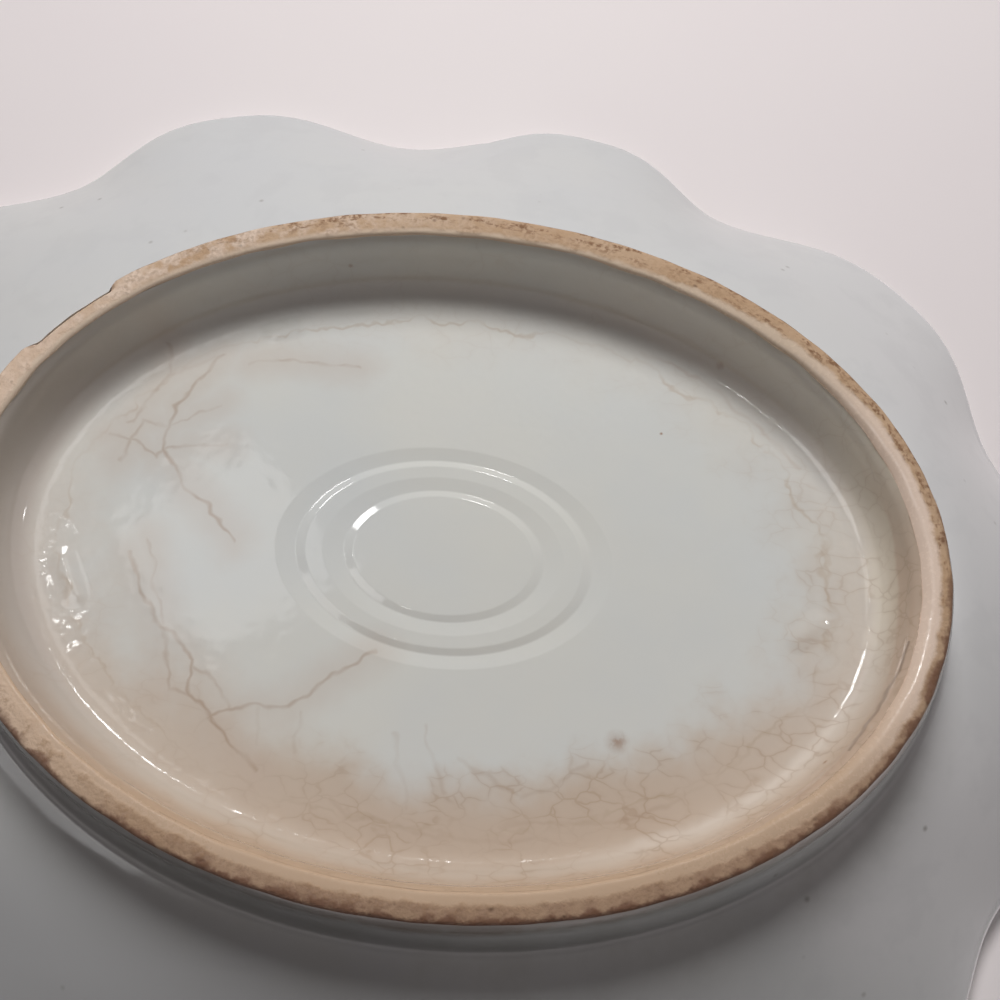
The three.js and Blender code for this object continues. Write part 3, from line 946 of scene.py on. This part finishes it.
def foot_finish():
    """Bare fired clay, ground and stained: tan, and browner on the near side.

    Streaks of brown specks run along the band. It has a dark ragged outer edge, paler rubbed places and a thin smear of
    glaze on the inner edge.
    """
    material, bench, shader = finish("bare_foot_clay")
    place = bench.place()
    across = bench.mark("across")
    flake = bench.mark("flake")
    near = bench.dot(place, TO_NEAR)
    right = bench.dot(place, TO_RIGHT)
    band_place = bench.lay("ShaderNodeCombineXYZ", {
        "X": bench.times(bench.mark("along"), 0.30),
        "Y": bench.times(across, BAND_WIDTH),
    }).outputs[0]
    broad = bench.cloud(place, 16, 2)
    small = bench.cloud(place, 2.6, 3)
    grit = bench.cloud(place, 0.7, 5)
    streaks = bench.cloud(band_place, 0.8, 6)

    tan = bench.blend(broad, FOOT_TAN, FOOT_LIGHT_TAN)
    browned = bench.times(bench.step(near, 0.1, 0.75), bench.step(across, 0.2, 0.6))
    browned = bench.times(browned, bench.step(right, -0.85, -0.3, 0.1, 1.0))
    tan = bench.blend(bench.times(browned, bench.step(small, 0.0, 1.0, 0.55, 0.95)), tan, FOOT_BROWN)
    far_left = bench.step(bench.plus(right, near), -0.2, -1.1)
    far_left = bench.times(far_left, bench.step(right, 0.1, -0.5, 0.25, 1.0))
    chalky = bench.times(far_left, bench.step(small, 0.1, 0.9))
    tan = bench.blend(bench.times(chalky, 0.8), tan, CHALKY_CLAY)
    tan = bench.blend(bench.step(right, -0.5, -0.95, 0.0, 0.75), tan, RUBBED_CLAY)
    mottle = bench.times(bench.step(small, 0.5, 1.0), bench.step(grit, 0.1, 0.9))
    tan = bench.blend(bench.times(mottle, 0.5), tan, FOOT_MOTTLE)
    far = bench.step(bench.minus(bench.times(right, 0.8), near), 0.1, 0.9)
    band = bench.times(bench.step(across, 0.15, 0.7), bench.step(across, 1.05, 0.95))
    streaked = bench.times(bench.step(streaks, 0.36, 0.88), bench.step(grit, 0.1, 0.75))
    burnt = bench.times(streaked, far, band)
    tan = bench.blend(burnt, tan, BURNT_STREAK)
    edge_noise = bench.plus(across, bench.sway(small, 0.35))
    edge = bench.times(bench.step(edge_noise, 0.72, 0.97), bench.step(near, -0.3, 0.35))
    tan = bench.blend(bench.times(edge, 0.85), tan, BURNT_EDGE)
    pits = bench.use(SPECKS, Place=place, Spacing=2.3, Width=0.5, Thinning=0.6)
    tan = bench.blend(bench.times(pits, 0.7), tan, FOOT_PIT)
    tan = bench.blend(bench.times(flake, 0.75), tan, FLAKE_FACE)
    broken = bench.times(bench.step(flake, 0.04, 0.2), bench.step(flake, 0.6, 0.3))
    tan = bench.blend(bench.times(broken, 0.55), tan, FLAKE_EDGE)

    covered = bench.plus(bench.step(right, 0.35, 0.95, 0.20, 0.58), bench.step(near, 0.2, 0.9, 0.0, 0.20))
    smear = bench.minus(covered, bench.plus(across, bench.times(small, 0.14)))
    smear = bench.step(smear, -0.16, 0.06)
    pale = bench.blend(bench.step(near, -0.5, 0.5), FAR_SMEAR, NEAR_SMEAR)
    pale = bench.blend(bench.step(right, 0.7, 0.98), pale, FRONT_SMEAR)
    tan = bench.blend(bench.times(smear, 0.85), tan, pale)

    relief = bench.plus(bench.times(grit, 0.5), bench.times(small, 0.8))
    relief = bench.times(bench.minus(relief, pits), bench.step(smear, 0.0, 1.0, 1.0, 0.15))
    gloss = bench.times(smear, bench.step(bench.work("ABSOLUTE", right), 0.2, 0.6, 0.2, 0.48))
    rough = bench.minus(bench.step(grit, 0.0, 1.0, 0.58, 0.8), gloss)
    surface(bench, shader, tan, rough, relief, 0.6, 0.18)
    return material


def clay_finish():
    """Fired clay under the glaze: off-white, with grog specks and a fine tooth."""
    material, bench, shader = finish("fired_clay")
    place = bench.place()
    broad = bench.cloud(place, 20, 1)
    grit = bench.cloud(place, 0.9, 7)
    body = bench.blend(broad, CLAY_DARK, CLAY_LIGHT)
    grog = bench.use(SPECKS, Place=place, Spacing=3.5, Width=0.5, Thinning=0.7)
    body = bench.blend(bench.times(grog, 0.5), body, GROG)
    rough = bench.plus(0.6, bench.times(grit, 0.2))
    surface(bench, shader, body, rough, grit, 0.3, 0.1)
    return material


dress(foot_clay(), "foot_ring", foot_finish())
dress(recess_coat(), "recess_glaze", recess_finish())
dress(wall_coat(), "wall_glaze", wall_finish())
dress(bowl_coat(), "bowl_glaze", bowl_finish())

body_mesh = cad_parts["dish_body"].data
body_mesh.materials.clear()
body_mesh.materials.append(clay_finish())


# Stage

TABLE_PALE = (0.91, 0.835, 0.84, 1)
TABLE_PATCH = (0.93, 0.86, 0.855, 1)
TABLE_GAP = 0.1 * MM
SHEET_REACH = 0.8  # half a sheet's side, in metres
FADE_FROM, FADE_TO = 180.0, 560.0  # millimetres from the middle
ROOM_LIGHT = (0.068, 0.064, 0.063, 1)
ROOM_PALE = (0.83, 0.76, 0.765, 1)


def sheet_finish(name, pale, patch):
    """Pale paint that only its front side shows, and that fades out where the lamps end."""
    material, bench, shader = finish(name)
    bench.tree.nodes.remove(shader)
    place = bench.place()
    soft = bench.cloud(place, 140, 1)
    paint = bench.lay("ShaderNodeBsdfDiffuse", {"Color": bench.blend(soft, pale, patch)}).outputs[0]
    clear = bench.lay("ShaderNodeBsdfTransparent", {}).outputs[0]
    behind = bench.lay("ShaderNodeNewGeometry", {}).outputs["Backfacing"]
    out = bench.lay("ShaderNodeVectorMath", {0: place}, operation="LENGTH").outputs["Value"]
    hidden = bench.work("MAXIMUM", behind, bench.step(out, FADE_FROM, FADE_TO))
    seen = bench.lay("ShaderNodeMixShader", {0: hidden, 1: paint, 2: clear}).outputs[0]
    bench.tree.links.new(seen, bench.tree.nodes["Material Output"].inputs["Surface"])
    return material


def sheet(name, level, facing_up, material):
    """A level square of the stage. Only the camera sees it, so it takes the dish's shadow and sends no light back."""
    turns = ((-1, -1), (1, -1), (1, 1), (-1, 1))
    corners = [(x * SHEET_REACH, y * SHEET_REACH, level) for x, y in turns]
    mesh = bpy.data.meshes.new(name)
    mesh.from_pydata(corners, [], [(0, 1, 2, 3) if facing_up else (3, 2, 1, 0)])
    mesh.materials.append(material)
    stage = add_object(name, mesh)
    stage.visible_diffuse = False
    stage.visible_glossy = False
    stage.visible_transmission = False
    stage.visible_shadow = False


table_paint = sheet_finish("table_paint", TABLE_PALE, TABLE_PATCH)
sheet("table", CAD_BOX[1][2] + TABLE_GAP, False, table_paint)
sheet("floor", CAD_BOX[0][2], True, table_paint)


def lamp(name, place, size, power, mirrored, shape="DISK"):
    """A flat lamp that faces the dish: a soft one that lights it, or one that its gloss alone mirrors."""
    light = bpy.data.lights.new(name, "AREA")
    light.shape = shape
    light.size = size
    light.energy = power
    holder = add_object(name, light)
    holder.location = place
    aim = Vector((FOOT_MIDDLE * MM, 0, 0)) - holder.location
    holder.rotation_euler = aim.to_track_quat("-Z", "Y").to_euler()
    holder.visible_camera = False
    holder.visible_glossy = mirrored
    holder.visible_diffuse = not mirrored


def photo_lamp(name, direction, distance, size, power, mirrored, shape="DISK"):
    """A lamp on the side of the dish that the photograph shows, from a direction in the photograph's frame."""
    place = photo_place(*(Vector(direction).normalized() * distance / MM))
    lamp(name, place, size, power, mirrored, shape)


photo_lamp("window", (0.03, 0.60, 0.80), 0.55, 0.22, 2.35, False)
photo_lamp("left_glint", (-0.37, 0.60, 0.70), 0.7, 0.13, 0.89, True)
photo_lamp("left_spot", (-0.427, 0.294, 0.86), 0.7, 0.022, 0.042, True)
photo_lamp("middle_glint", (0.10, 0.70, 0.70), 0.7, 0.08, 0.40, True)
photo_lamp("right_glint", (0.60, 0.30, 0.74), 0.7, 0.045, 0.14, True)
photo_lamp("ceiling_glint", (-0.24, -0.08, 0.97), 0.7, 0.024, 0.05, True)
photo_lamp("left_sheen", (-0.50, 0.0, 0.87), 0.7, 0.28, 0.50, True)
photo_lamp("pale_panel", (-0.27, 0.33, 0.90), 0.7, 0.12, 0.065, True, "SQUARE")
lamp("upper_key", (-0.55, -0.65, 0.85), 0.6, 11.6, False)
lamp("upper_fill", (0.75, 0.45, 0.60), 0.7, 4.6, False)
lamp("upper_glint", (-0.30, -0.40, 0.80), 0.05, 0.2, True)


def room():
    """A dim, even room for light, and the table's own pale colour for the camera and for gloss."""
    world = bpy.data.worlds.new("room")
    world.use_nodes = True
    bench = Bench(world.node_tree)
    bench.tree.nodes.clear()
    even = bench.lay("ShaderNodeBackground", {"Color": ROOM_LIGHT}).outputs[0]
    pale = bench.lay("ShaderNodeBackground", {"Color": ROOM_PALE}).outputs[0]
    path = bench.lay("ShaderNodeLightPath", {}).outputs
    mirrored = bench.plus(path["Is Glossy Ray"], path["Is Transmission Ray"])
    seen = bench.work("MINIMUM", bench.plus(path["Is Camera Ray"], mirrored), 1.0)
    both = bench.lay("ShaderNodeMixShader", {0: seen, 1: even, 2: pale}).outputs[0]
    bench.lay("ShaderNodeOutputWorld", {"Surface": both})
    bpy.context.scene.world = world


room()

# Camera
CAMERA_PLACE = (8.99, -62.64, 165.21)
CAMERA_TILT = math.radians(22.0)  # from straight down
CAMERA_ROLL = math.radians(-0.53)
LENS = 43.2
SENSOR = 36.0
NEAREST_SEEN = 0.005

straight_right = Vector((1, 0, 0))
forward = Vector((0, math.sin(CAMERA_TILT), -math.cos(CAMERA_TILT)))
straight_up = straight_right.cross(forward)
camera_right = straight_right * math.cos(CAMERA_ROLL) + straight_up * math.sin(CAMERA_ROLL)
camera_up = straight_up * math.cos(CAMERA_ROLL) - straight_right * math.sin(CAMERA_ROLL)
axes = [photo_direction(*axis) for axis in (camera_right, camera_up, -forward)]
camera = add_object("camera", bpy.data.cameras.new("camera"))
camera.data.lens = LENS
camera.data.sensor_width = SENSOR
camera.data.clip_start = NEAREST_SEEN
camera.matrix_world = Matrix.Translation(photo_place(*CAMERA_PLACE)) @ Matrix(axes).transposed().to_4x4()
bpy.context.scene.camera = camera
bpy.context.scene.view_settings.view_transform = "Standard"
